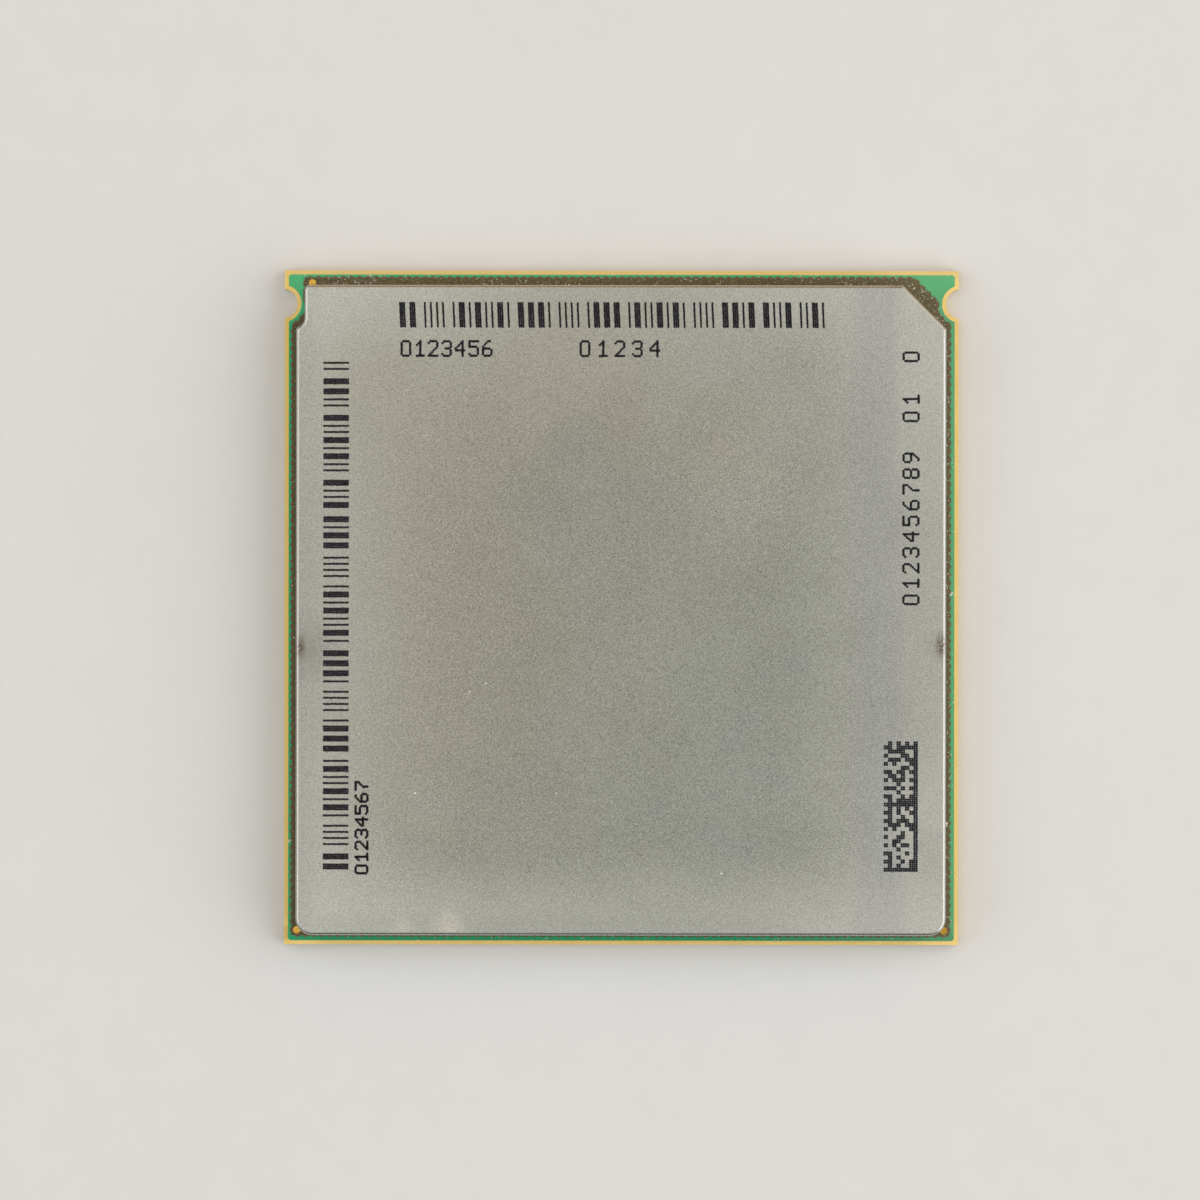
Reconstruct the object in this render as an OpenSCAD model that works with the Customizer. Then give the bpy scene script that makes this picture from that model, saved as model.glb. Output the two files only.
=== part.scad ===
// Computer processor in a land grid package.
// A square laminate carries a bare die under a nickel-plated copper heat spreader on its top,
// and a grid of gold lands in a solder mask on its underside. Two key notches guide it into its socket.
// The origin is the middle of the land side, +Z points up to the heat spreader and +Y to the key notches.

/* [Substrate] */
// Side of the square laminate
substrate_w = 50; // [46:0.5:60]
// Thickness of the laminate
substrate_t = 1.3; // [0.8:0.05:2]
// Radius of the two half-round key notches
notch_r = 1.1; // [0.8:0.05:1.3]
// How far each notch centre lies outside the side edge
notch_out = 0.16; // [0:0.02:0.3]
// How far each notch centre lies below the top edge
notch_drop = 2.45; // [2.2:0.05:2.8]

/* [Solder mask] */
// Thickness of the solder mask on both sides
mask_t = 0.025; // [0.02:0.005:0.04]
// Bare laminate between the mask and the edges
mask_margin = 0.295; // [0.2:0.005:0.4]
// Corner radius of the mask
mask_corner_r = 0.22; // [0.1:0.02:0.4]

/* [Copper plane] */
// Thickness of the copper plane under the top mask
plane_t = 0.02; // [0.01:0.002:0.03]
// Distance from the laminate's edges to the plane's straight rim
plane_inset = 0.62; // [0.55:0.01:0.75]
// Leg of the 45 degree corner that the plane leaves out at the top right
plane_corner_cut = 2.64; // [2:0.02:3]
// Radius that the plane keeps clear around each notch centre
plane_notch_r = 1.74; // [1.6:0.02:1.9]
// Distance from the left edge to the plane beside the left notch
plane_key_inset = 1.54; // [1.4:0.02:1.7]
// Spacing of the round scallops along the plane's rim
scallop_pitch = 0.61; // [0.55:0.01:1]
// Radius of a scallop
scallop_r = 0.22; // [0.16:0.01:0.25]
// How far a scallop stands out of the straight rim
scallop_out = 0.12; // [0.06:0.01:0.15]
// Shift of the copper pattern to the left on the laminate
pattern_shift_x = -0.06; // [-0.1:0.01:0.1]
// Shift of the copper pattern to the top on the laminate
pattern_shift_y = 0.07; // [-0.1:0.01:0.1]

/* [Fiducial pads] */
// Diameter of the three gold fiducial pads
fiducial_d = 0.54; // [0.4:0.02:0.7]
// Thickness of the gold finish
fiducial_t = 0.01; // [0.005:0.001:0.015]
// Clearance between a fiducial pad and its mask opening
fiducial_gap = 0.01; // [0.005:0.005:0.03]
// Distance of the pads from the nearest edges
fiducial_inset = 1; // [0.95:0.01:1.05]
// Distance of the pad beside the left notch from the left edge
fiducial_key_inset = 2.1; // [2:0.05:2.3]

/* [Lands] */
// Spacing of the lands
land_pitch = 1.27; // [1.2:0.01:2]
// Diameter of a land
land_d = 0.76; // [0.6:0.02:0.9]
// Thickness of a land
land_t = 0.02; // [0.01:0.001:0.02]
// Clearance between a land and its mask opening
land_gap = 0.05; // [0.03:0.01:0.08]
// Distance from the mask's edge to the middle of the outer lands
land_edge = 1; // [0.8:0.05:2]

/* [Die] */
// Width of the die
die_w = 26.5; // [20:0.5:28]
// Depth of the die
die_d = 21.4; // [16:0.2:28]
// Thickness of the die
die_t = 0.785; // [0.6:0.005:0.9]
// Height of the solder bumps that the underfill surrounds
bump_h = 0.075; // [0.06:0.005:0.1]
// Width of the underfill's sloping fillet at its foot
fillet_w = 0.9; // [0.5:0.05:1.2]
// Height of the underfill's fillet above the mask
fillet_h = 0.5; // [0.3:0.02:0.6]
// Width of the underfill at the top of its fillet
fillet_lip = 0.06; // [0.04:0.01:0.1]
// Thickness of the thermal interface between die and heat spreader
interface_t = 0.05; // [0.03:0.005:0.1]
// How far the thermal interface reaches past the die
interface_over = 0.3; // [0.1:0.05:0.6]

/* [Capacitors] */
// Length of a chip capacitor
cap_l = 1; // [0.8:0.05:1.2]
// Width of a chip capacitor
cap_w = 0.5; // [0.4:0.05:0.8]
// Height of a chip capacitor
cap_h = 0.5; // [0.4:0.01:0.55]
// Length of each end terminal
terminal_l = 0.25; // [0.15:0.01:0.3]
// Thickness of a terminal's wrap over the ceramic
terminal_wrap = 0.02; // [0.01:0.005:0.03]
// Distance from the die's edge to the middle of the capacitor rows
cap_row_gap = 2.5; // [2.2:0.1:2.8]
// Spacing of the capacitors in a row
cap_pitch = 2; // [1.6:0.1:3]
// How far a solder pad reaches past the terminal's end
pad_toe = 0.2; // [0.1:0.02:0.3]
// How far a solder fillet climbs the terminal
solder_climb = 0.3; // [0.15:0.01:0.35]
// Clear laminate between the capacitors and the copper plane
window_gap = 0.8; // [0.5:0.1:1.2]

/* [Heat spreader] */
// Ledge of the substrate left free around the heat spreader
lid_ledge = 1; // [0.9:0.05:1.3]
// Height of the heat spreader
lid_h = 3; // [2.2:0.1:4]
// Width of the foot around the cavity
foot_w = 4; // [3:0.1:4.2]
// Corner radius of the cavity
cavity_r = 2; // [1:0.1:4]
// Radius of the rounded top edge
lid_edge_r = 0.24; // [0.1:0.02:0.24]
// Radius of the two bottom corners
lid_corner_r = 1.25; // [0.6:0.05:2]
// Leg of the 45 degree cut at the top right corner
lid_cut = 3.2; // [2:0.1:4]
// How far the edge steps in beside the left notch
step_in = 0.63; // [0.5:0.01:0.7]
// Length of the stepped edge below the top corner
step_len = 2.43; // [2:0.05:3]
// Radius of the hollow that ends the step
step_hollow_r = 0.7; // [0.6:0.02:0.9]
// Radius of the shoulder below the hollow
step_shoulder_r = 0.3; // [0.3:0.02:0.5]
// Radius of the corner above the step
step_corner_r = 0.4; // [0.3:0.02:0.8]
// Offset of the heat spreader to the right as it was bonded
lid_shift_x = -0.04; // [-0.1:0.01:0.1]
// Offset of the heat spreader to the top as it was bonded
lid_shift_y = -0.19; // [-0.2:0.01:0.2]

/* [Adhesive] */
// Thickness of the adhesive under the foot
seal_t = 0.1; // [0.06:0.01:0.16]
// Distance of the adhesive from the heat spreader's edge
seal_inset = 1; // [0.8:0.05:1.2]
// Width of the adhesive band
seal_w = 1.6; // [1:0.1:1.8]
// Outer corner radius of the adhesive band
seal_corner_r = 2.4; // [2:0.1:3]

/* [Hidden] */
$fn = 48;

// Overshoot of a cut past the face it leaves
over = 0.1;
root2 = sqrt(2);

// Levels from the land side up
laminate_z = mask_t;
board_z = laminate_z + substrate_t;
plane_z = board_z + plane_t;
low_mask_z = board_z + mask_t;
high_mask_z = plane_z + mask_t;
die_z = low_mask_z + bump_h;
interface_z = die_z + die_t;
ceiling_z = interface_z + interface_t;
foot_z = high_mask_z + seal_t;

// Notch centres
half_w = substrate_w / 2;
notch_x = half_w + notch_out;
notch_y = half_w - notch_drop;

// Rim of the copper plane
plane_left = -half_w + plane_inset + pattern_shift_x;
plane_right = half_w - plane_inset + pattern_shift_x;
plane_bottom = -half_w + plane_inset + pattern_shift_y;
plane_top = half_w - plane_inset + pattern_shift_y;
plane_key_x = -half_w + plane_key_inset + pattern_shift_x;
plane_cut_sum = plane_right + plane_top - plane_corner_cut;
scallop_in = scallop_r - scallop_out;

// Window of the copper plane round the die and its capacitors
window_w = die_w + 2 * cap_row_gap + cap_l + 2 * pad_toe + 2 * window_gap;
window_d = die_d + 2 * cap_row_gap + cap_l + 2 * pad_toe + 2 * window_gap;

// Underside mask, which ends in a straight edge clear of the notches
land_mask_half = notch_x - notch_r - mask_margin;
land_count = 2 * floor((land_mask_half - land_edge) / land_pitch + 0.5);
land_opening_d = land_d + 2 * land_gap;

// Heat spreader's outline round its own middle
lid_half = half_w - lid_ledge;
step_x = -lid_half + step_in;
step_turn = acos(1 - step_in / (step_hollow_r + step_shoulder_r));
hollow_c = [step_x - step_hollow_r, lid_half - step_len];
shoulder_c = hollow_c + (step_hollow_r + step_shoulder_r) * [cos(step_turn), -sin(step_turn)];

// Points spread evenly from p to q, at about the scallop pitch
function spread(p, q) =
    let (n = max(1, round(norm(q - p) / scallop_pitch)))
    [for (i = [0 : n - 1]) p + (q - p) * (i + 0.5) / n];

// Points on the plane's clear arc round a notch centre, which side says: -1 left, 1 right
function round_notch(side) =
    let (r = plane_notch_r + scallop_in, step = scallop_pitch / r * 180 / PI)
    [for (a = [0 : step : 360 - step]) [side * (notch_x - r * cos(a)), notch_y + r * sin(a)]];

// Whether a scallop's middle lies on the plane
function on_plane(p) =
    p.x > plane_left && p.x < plane_right && p.y > plane_bottom && p.y < plane_top
    && p.x + p.y < plane_cut_sum
    && (p.x > plane_key_x || p.y < notch_y)
    && norm(p - [notch_x, notch_y]) > plane_notch_r
    && norm(p - [-notch_x, notch_y]) > plane_notch_r;

// Middles of all scallops
function scallops() =
    let (l = plane_left + scallop_in, r = plane_right - scallop_in,
         b = plane_bottom + scallop_in, t = plane_top - scallop_in,
         key = plane_key_x + scallop_in, cut = plane_cut_sum - scallop_in * root2)
    [for (p = concat(spread([l, b], [r, b]), spread([r, b], [r, cut - r]), spread([r, cut - r], [cut - t, t]),
                     spread([cut - t, t], [key, t]), spread([key, t], [key, notch_y]),
                     spread([l, notch_y], [l, b]), round_notch(-1), round_notch(1)))
        if (on_plane(p)) p];

// Places of the capacitors as x, y and turn, in one row along each side of the die
function row_places(length) =
    let (n = floor(length / cap_pitch))
    [for (i = [0 : n - 1]) (i - (n - 1) / 2) * cap_pitch];

function cap_places() = concat(
    [for (x = row_places(die_w), side = [-1, 1]) [x, side * (die_d / 2 + cap_row_gap), 90]],
    [for (y = row_places(die_d), side = [-1, 1]) [side * (die_w / 2 + cap_row_gap), y, 0]]);

// Square with round corners, on its middle
module rounded_rectangle(w, d, r) {
    square([w - 2 * r, d], center = true);
    square([w, d - 2 * r], center = true);
    for (x = [-1, 1], y = [-1, 1])
        translate([x * (w / 2 - r), y * (d / 2 - r)]) circle(r);
}

// Sharp corner outside a corner arc of radius r, whose tip points to sx, sy
module corner_waste(r, sx, sy) {
    difference() {
        translate([sx > 0 ? -r : -over, sy > 0 ? -r : -over]) square(r + over);
        translate([-sx * r, -sy * r]) circle(r);
    }
}

// Both notch discs of radius r
module notch_discs(r) {
    for (side = [-1, 1]) translate([side * notch_x, notch_y]) circle(r);
}

// Outline of the copper plane, grown by g
module plane_outline(g) {
    difference() {
        union() {
            difference() {
                translate([plane_left - g, plane_bottom - g])
                    square([plane_right - plane_left + 2 * g, plane_top - plane_bottom + 2 * g]);
                polygon([[half_w, plane_cut_sum + g * root2 - half_w], [half_w, half_w],
                         [plane_cut_sum + g * root2 - half_w, half_w]]);
                translate([-half_w, notch_y + g]) square([plane_key_x - g + half_w, notch_drop]);
                notch_discs(plane_notch_r - g);
            }
            for (p = scallops()) translate(p) circle(scallop_r + g);
        }
        square([window_w - 2 * g, window_d - 2 * g], center = true);
    }
}

// The three fiducial places
module at_fiducials() {
    low = half_w - fiducial_inset;
    translate([pattern_shift_x, pattern_shift_y]) {
        for (side = [-1, 1]) translate([side * low, -low]) children();
        translate([-half_w + fiducial_key_inset, low]) children();
    }
}

// Every land's place: a full grid without its four corners
module at_lands() {
    last = land_count - 1;
    for (i = [0 : last], j = [0 : last])
        if ((i > 0 && i < last) || (j > 0 && j < last))
            translate([(i - last / 2) * land_pitch, (j - last / 2) * land_pitch]) children();
}

// Every capacitor's place, with the capacitor's length along X
module at_capacitors() {
    for (p = cap_places()) translate([p.x, p.y]) rotate(p.z) children();
}

// Both ends of a capacitor, with the end facing +X
module at_ends() {
    for (turn = [0, 180]) rotate(turn) children();
}

// One solder pad's outline at a capacitor's end
module pad_outline() {
    translate([cap_l / 2 - terminal_l, -cap_w / 2]) square([terminal_l + pad_toe, cap_w]);
}

// Laminate with its two key notches
module substrate() {
    color("tan") translate([0, 0, laminate_z]) linear_extrude(substrate_t) difference() {
        square(substrate_w, center = true);
        notch_discs(notch_r);
    }
}

// Copper plane with its scalloped rim
module ground_plane() {
    color("saddlebrown") translate([0, 0, board_z]) linear_extrude(plane_t) plane_outline(0);
}

// Green film that covers the laminate and steps up over the copper plane
module top_solder_mask() {
    mask_w = substrate_w - 2 * mask_margin;
    color("seagreen") translate([0, 0, board_z]) difference() {
        union() {
            linear_extrude(mask_t) difference() {
                rounded_rectangle(mask_w, mask_w, mask_corner_r);
                notch_discs(notch_r + mask_margin);
            }
            translate([0, 0, mask_t / 2]) linear_extrude(plane_t + mask_t / 2) plane_outline(mask_t);
        }
        translate([0, 0, -over]) linear_extrude(plane_t + over) plane_outline(0);
        linear_extrude(plane_t + mask_t + over) {
            at_fiducials() circle(d = fiducial_d + 2 * fiducial_gap);
            at_capacitors() at_ends() pad_outline();
        }
    }
}

// Green film on the land side with a round opening for every land
module bottom_solder_mask() {
    color("seagreen") linear_extrude(mask_t) difference() {
        square(2 * land_mask_half, center = true);
        at_lands() circle(d = land_opening_d);
    }
}

// Gold lands, a little below the face of the mask round them
module land_pads() {
    color("gold") translate([0, 0, laminate_z - land_t]) at_lands() cylinder(d = land_d, h = land_t);
}

// Gold fiducial pads on the copper plane
module fiducial_pads() {
    color("goldenrod") translate([0, 0, plane_z]) at_fiducials() cylinder(d = fiducial_d, h = fiducial_t);
}

// Silicon die
module die() {
    color("slategray") translate([-die_w / 2, -die_d / 2, die_z]) cube([die_w, die_d, die_t]);
}

// Underfill round the solder bumps, with a sloping fillet up the die's sides
module underfill() {
    slab = fillet_lip;
    color("midnightblue") difference() {
        hull() {
            translate([0, 0, low_mask_z]) linear_extrude(slab)
                rounded_rectangle(die_w + 2 * fillet_w, die_d + 2 * fillet_w, fillet_w, $fn = 32);
            translate([0, 0, low_mask_z + fillet_h - slab]) linear_extrude(slab)
                square([die_w + 2 * fillet_lip, die_d + 2 * fillet_lip], center = true);
        }
        translate([-die_w / 2, -die_d / 2, die_z]) cube([die_w, die_d, die_t]);
    }
}

// Thermal interface between the die and the heat spreader
module thermal_interface() {
    color("lightgray") translate([0, 0, interface_z]) linear_extrude(interface_t)
        rounded_rectangle(die_w + 2 * interface_over, die_d + 2 * interface_over, 2 * interface_over);
}

// Ceramic bodies of the chip capacitors, between their terminals
module capacitor_bodies() {
    l = cap_l - 2 * terminal_l;
    w = cap_w - 2 * terminal_wrap;
    color("peru") translate([0, 0, low_mask_z + terminal_wrap]) at_capacitors()
        translate([-l / 2, -w / 2]) cube([l, w, cap_h - 2 * terminal_wrap]);
}

// Metal end terminals of the chip capacitors
module capacitor_terminals() {
    color("silver") translate([0, 0, low_mask_z]) at_capacitors() at_ends()
        translate([cap_l / 2 - terminal_l, -cap_w / 2]) cube([terminal_l, cap_w, cap_h]);
}

// Copper pads that the capacitors are soldered to, in openings of the top mask
module capacitor_pads() {
    color("goldenrod") translate([0, 0, board_z]) linear_extrude(mask_t)
        at_capacitors() at_ends() pad_outline();
}

// Solder fillets between the pads and the capacitors' terminals
module capacitor_solder() {
    color("gainsboro") translate([0, 0, low_mask_z]) at_capacitors() at_ends()
        translate([cap_l / 2, cap_w / 2]) rotate([90, 0, 0]) linear_extrude(cap_w)
            polygon([[0, 0], [pad_toe, 0], [0, solder_climb]]);
}

// Outline of the heat spreader inset by d, with plain corners of radius r
module seal_outline(d, r) {
    half = lid_half - d;
    cut = lid_cut - d * (2 - root2);
    difference() {
        rounded_rectangle(2 * half, 2 * half, r);
        translate([half, half]) polygon([[over, over], [over, -cut - over], [-cut - over, over]]);
    }
}

// Adhesive band that holds the heat spreader's foot on the mask
module lid_adhesive() {
    color("dimgray") translate([lid_shift_x, lid_shift_y, high_mask_z]) linear_extrude(seal_t) difference() {
        seal_outline(seal_inset, seal_corner_r);
        seal_outline(seal_inset + seal_w, seal_corner_r - seal_w);
    }
}

// Outline of the heat spreader round its own middle
module lid_outline() {
    difference() {
        square(2 * lid_half, center = true);
        translate([-lid_half, -lid_half]) corner_waste(lid_corner_r, -1, -1);
        translate([lid_half, -lid_half]) corner_waste(lid_corner_r, 1, -1);
        translate([lid_half, lid_half])
            polygon([[over, over], [over, -lid_cut - over], [-lid_cut - over, over]]);
        translate([step_x, lid_half]) corner_waste(step_corner_r, -1, 1);
        translate([-lid_half - over, hollow_c.y]) square([step_in + over, step_len + over]);
        translate(hollow_c) circle(step_hollow_r);
        difference() {
            polygon([hollow_c, shoulder_c, [-lid_half, shoulder_c.y], [-lid_half - over, shoulder_c.y],
                     [-lid_half - over, hollow_c.y]]);
            translate(shoulder_c) circle(step_shoulder_r);
        }
    }
}

// Waste outside the rounded top edge, with the sharp edge at its origin and the metal along +X
module edge_waste() {
    difference() {
        translate([-over, -lid_edge_r]) square(lid_edge_r + over);
        translate([lid_edge_r, -lid_edge_r]) circle(lid_edge_r);
    }
}

// Edge waste along a straight edge from p to q, with the metal on the left
module straight_edge(p, q, lead = 0) {
    run = q - p;
    translate(p) rotate(atan2(run.y, run.x)) translate([-lead, 0]) rotate([90, 0, 90])
        linear_extrude(norm(run) + 2 * lead) edge_waste();
}

// Edge waste round an outer corner of radius r
module outer_edge(c, r, from, turn) {
    translate(c) rotate(from) rotate_extrude(angle = turn) translate([r, 0]) mirror([1, 0]) edge_waste();
}

// Edge waste round a hollow of radius r
module hollow_edge(c, r, from, turn) {
    translate(c) rotate(from) rotate_extrude(angle = turn) translate([r, 0]) edge_waste();
}

// Waste all round the heat spreader's top edge
module lid_edge() {
    h = lid_half;
    r = lid_corner_r;
    straight_edge([-h + r, -h], [h - r, -h]);
    outer_edge([h - r, -h + r], r, -90, 90);
    straight_edge([h, -h + r], [h, h - lid_cut]);
    straight_edge([h, h - lid_cut], [h - lid_cut, h], over);
    straight_edge([h - lid_cut, h], [step_x + step_corner_r, h]);
    outer_edge([step_x + step_corner_r, h - step_corner_r], step_corner_r, 90, 90);
    straight_edge([step_x, h - step_corner_r], [step_x, hollow_c.y]);
    hollow_edge(hollow_c, step_hollow_r, -step_turn, step_turn);
    outer_edge(shoulder_c, step_shoulder_r, 180 - step_turn, step_turn);
    straight_edge([-h, shoulder_c.y], [-h, -h + r]);
    outer_edge([-h + r, -h + r], r, 180, 90);
}

// Heat spreader: a plate with a rounded top edge and a cavity over the die
module heat_spreader() {
    cavity_w = 2 * (lid_half - foot_w);
    color("silver") translate([lid_shift_x, lid_shift_y, foot_z]) difference() {
        linear_extrude(lid_h) lid_outline();
        translate([0, 0, -over]) linear_extrude(ceiling_z - foot_z + over)
            rounded_rectangle(cavity_w, cavity_w, cavity_r);
        translate([0, 0, lid_h]) lid_edge();
    }
}

substrate();
ground_plane();
top_solder_mask();
bottom_solder_mask();
land_pads();
fiducial_pads();
die();
underfill();
thermal_interface();
capacitor_bodies();
capacitor_terminals();
capacitor_pads();
capacitor_solder();
lid_adhesive();
heat_spreader();
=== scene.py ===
# Looks of a lidded land grid processor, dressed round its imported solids.
import math
import random

import bpy
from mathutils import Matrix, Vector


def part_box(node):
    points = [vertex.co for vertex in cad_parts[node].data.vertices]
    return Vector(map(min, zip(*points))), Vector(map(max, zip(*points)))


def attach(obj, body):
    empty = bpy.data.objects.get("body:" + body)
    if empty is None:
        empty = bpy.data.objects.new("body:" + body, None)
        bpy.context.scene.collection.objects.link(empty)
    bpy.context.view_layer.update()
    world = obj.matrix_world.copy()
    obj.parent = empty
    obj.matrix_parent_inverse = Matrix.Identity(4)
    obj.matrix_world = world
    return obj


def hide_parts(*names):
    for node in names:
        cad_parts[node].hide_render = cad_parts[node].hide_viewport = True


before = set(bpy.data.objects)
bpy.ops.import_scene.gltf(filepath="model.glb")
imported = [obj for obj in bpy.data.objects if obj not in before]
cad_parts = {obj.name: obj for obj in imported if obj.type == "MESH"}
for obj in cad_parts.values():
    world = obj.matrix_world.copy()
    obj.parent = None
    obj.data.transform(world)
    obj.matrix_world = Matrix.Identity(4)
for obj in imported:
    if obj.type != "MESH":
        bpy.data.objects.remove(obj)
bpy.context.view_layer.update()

MM = 0.001


def box_mm(node):
    """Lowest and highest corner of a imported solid, in millimetres."""
    return [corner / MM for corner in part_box(node)]


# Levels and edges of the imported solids, in millimetres
lid_low, lid_high = box_mm("heat_spreader")
film_low, film_high = box_mm("top_solder_mask")
board_low, board_high = box_mm("substrate")
plane_low, plane_high = box_mm("ground_plane")
land_low, land_high = box_mm("land_pads")
under_low, under_high = box_mm("bottom_solder_mask")
FILM_STEP = 0.02
LID_TOP = lid_high.z
PLATEAU_Z = film_high.z
LOW_FILM_Z = PLATEAU_Z - FILM_STEP

# Copper plane's rim and the key notches, in millimetres
SCALLOP_OUT = 0.12
PLANE_CUT_LEG = 2.64
PLANE_KEY_X = -23.52
PLANE_NOTCH_R = 1.74
NOTCH_X = 25.16
NOTCH_Y = 22.55

# Land grid on the underside, in millimetres
LAND_PITCH = 1.27
LAND_COUNT = 36
LAND_FOOT_D = 0.76
LAND_FACE_D = 0.73
OPENING_D = 0.86
ROUND_SIDES = 20
MERGE_REACH = 0.0001

# Drops of ink on the heat spreader, in millimetres, and how much they differ in size
INK_T = 0.006
DROP_SIDES = 8
DROP_WANDER = 0.010
CELL_WANDER = 0.008
DROP_SPREAD = 0.06

# Bar codes: left, right, foot and head, then the dots and gaps, in millimetres, and the groups of bars
TOP_BARS = (-16.42, 14.94, 20.64, 22.56)
TOP_BAR_GROUPS = 10
TOP_BAR_DOT_D = 0.170
TOP_BAR_PITCH = 0.105
TOP_LEAN = 0.045
LEFT_BARS = (-22.03, -20.11, -19.35, 18.13)
LEFT_BAR_GROUPS = 12
LEFT_BAR_DOT_D = 0.192
LEFT_BAR_PITCH = 0.148
BAR_COLUMN = 0.152
NARROW_GAP = 0.285
WIDE_GAP = 0.62
WIDE_COLUMNS = 3
GROUP_BARS = 5
GROUP_GAPS = 4

# Cell code: its left bottom corner, its cells and the dots of a cell, in millimetres and shares of a cell
CELL_CORNER = (19.364, -19.453)
CELL_X = 0.3136
CELL_Y = 0.3007
CELL_DOT_D = 0.190
CELL_COLUMNS = 8
CELL_ROWS = 16
CELL_BLOCKS = 2
CELL_DOTS = [(0.24, 0.25), (0.24, 0.75), (0.76, 0.25), (0.76, 0.75)]

# Pen strokes of plain numerals on a grid of dots
NUMERAL_COLUMNS = 5
NUMERAL_ROWS = 8
STROKES = {
    "0": [[(1, 0), (4, 0), (5, 1), (5, 7), (4, 8), (1, 8), (0, 7), (0, 1), (1, 0)]],
    "1": [[(1, 6), (3, 8), (3, 0)], [(1, 0), (5, 0)]],
    "2": [[(0, 7), (1, 8), (4, 8), (5, 7), (5, 5), (0, 0), (5, 0)]],
    "3": [[(0, 7), (1, 8), (4, 8), (5, 7), (5, 5), (4, 4), (2, 4)],
          [(4, 4), (5, 3), (5, 1), (4, 0), (1, 0), (0, 1)]],
    "4": [[(4, 0), (4, 8), (0, 4), (0, 3), (5, 3)]],
    "5": [[(5, 8), (0, 8), (0, 5), (4, 5), (5, 4), (5, 1), (4, 0), (1, 0), (0, 1)]],
    "6": [[(4, 8), (3, 8), (0, 5), (0, 1), (1, 0), (4, 0), (5, 1), (5, 3), (4, 4), (0, 4)]],
    "7": [[(0, 8), (5, 8), (5, 6), (2, 3), (2, 0)]],
    "8": [[(1, 4), (0, 5), (0, 7), (1, 8), (4, 8), (5, 7), (5, 5), (4, 4)],
          [(4, 4), (1, 4), (0, 3), (0, 1), (1, 0), (4, 0), (5, 1), (5, 3), (4, 4)]],
    "9": [[(1, 0), (2, 0), (5, 3), (5, 7), (4, 8), (1, 8), (0, 7), (0, 5), (1, 4), (5, 4)]],
}

# Lines of numerals: spacing, width and height, then where they start and whether they read upward
NUMBER_DOT_D = 0.208
NUMBER_LINES = [
    ("0123456", (1.00, 0.83, 1.28), (-16.35, 18.47), False),
    ("01234", (1.29, 0.83, 1.28), (-3.14, 18.47), False),
    ("01234567", (0.88, 0.77, 1.07), (-18.63, -19.72), True),
    ("0123456789", (1.164, 0.83, 1.31), (22.0, 0.20), True),
    ("01", (1.25, 0.83, 1.31), (22.0, 13.70), True),
    ("0", (1.0, 0.83, 1.31), (22.0, 18.13), True),
]

# Numbers of the sockets that are set or read by number
MIX_FACTOR = 0
MIX_FIRST = 6
MIX_SECOND = 7
MIX_COLOUR_OUT = 2
RANDOM_LOW = 2
RANDOM_HIGH = 3
RANDOM_SEED = 8
RANDOM_OUT = 1
OBJECT_PLACE_OUT = 3


# Shader and geometry fields

class Field:
    """A value that varies over a surface or a shape: one output socket in a node tree."""

    def __init__(self, socket):
        self.socket = socket
        self.tree = socket.id_data

    def node(self, kind, inputs, settings=None, output=0):
        """Adds any other node to this field's tree."""
        return add_node(self.tree, kind, inputs, settings, output)

    def math(self, operation, *others):
        return self.node("ShaderNodeMath", [self, *others], {"operation": operation})

    def __add__(self, other):
        return self.math("ADD", other)

    def __radd__(self, other):
        return self.math("ADD", other)

    def __sub__(self, other):
        return self.math("SUBTRACT", other)

    def __rsub__(self, other):
        return self.node("ShaderNodeMath", [other, self], {"operation": "SUBTRACT"})

    def __mul__(self, other):
        return self.math("MULTIPLY", other)

    def __rmul__(self, other):
        return self.math("MULTIPLY", other)

    def lower(self, other):
        return self.math("MINIMUM", other)

    def higher(self, other):
        return self.math("MAXIMUM", other)

    def wave(self, pitch):
        """Wave from -1 to 1 that repeats after one pitch."""
        return (self * (math.tau / pitch)).math("SINE")

    def ramp(self, start, end):
        """Goes smoothly from 0 at start to 1 at end."""
        settings = {"interpolation_type": "SMOOTHSTEP"}
        return self.node("ShaderNodeMapRange", [self, start, end, 0.0, 1.0], settings)

    def mix(self, first, second):
        """Colour that goes from first to second as this field goes from 0 to 1."""
        inputs = {MIX_FACTOR: self, MIX_FIRST: colour(first), MIX_SECOND: colour(second)}
        return self.node("ShaderNodeMix", inputs, {"data_type": "RGBA"}, MIX_COLOUR_OUT)

    def times(self, other):
        """This colour multiplied by another one."""
        inputs = {MIX_FACTOR: 1.0, MIX_FIRST: self, MIX_SECOND: other}
        settings = {"data_type": "RGBA", "blend_type": "MULTIPLY"}
        return self.node("ShaderNodeMix", inputs, settings, MIX_COLOUR_OUT)

    def noise(self, size, detail, rough, seed, stretch=None):
        """Cloudy pattern from 0 to 1 whose spots measure about size, on this position."""
        place = self
        if stretch:
            place = self.node("ShaderNodeVectorMath", [self, stretch], {"operation": "MULTIPLY"})
        inputs = {"Vector": place, "W": seed, "Scale": 1.0 / size, "Detail": detail, "Roughness": rough}
        return self.node("ShaderNodeTexNoise", inputs, {"noise_dimensions": "4D"})

    def away(self, x, y, weight_y=1.0):
        """Distance in the plane from a point, on this position, with a weight on its part along Y."""
        part_x, part_y, _ = self.parts()
        across = part_x - x
        along = (part_y - y) * weight_y
        return (across * across + along * along).math("SQRT")

    def parts(self):
        """The three parts of this position."""
        first = self.node("ShaderNodeSeparateXYZ", [self])
        outputs = first.socket.node.outputs
        return [Field(outputs[i]) for i in range(3)]


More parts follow.
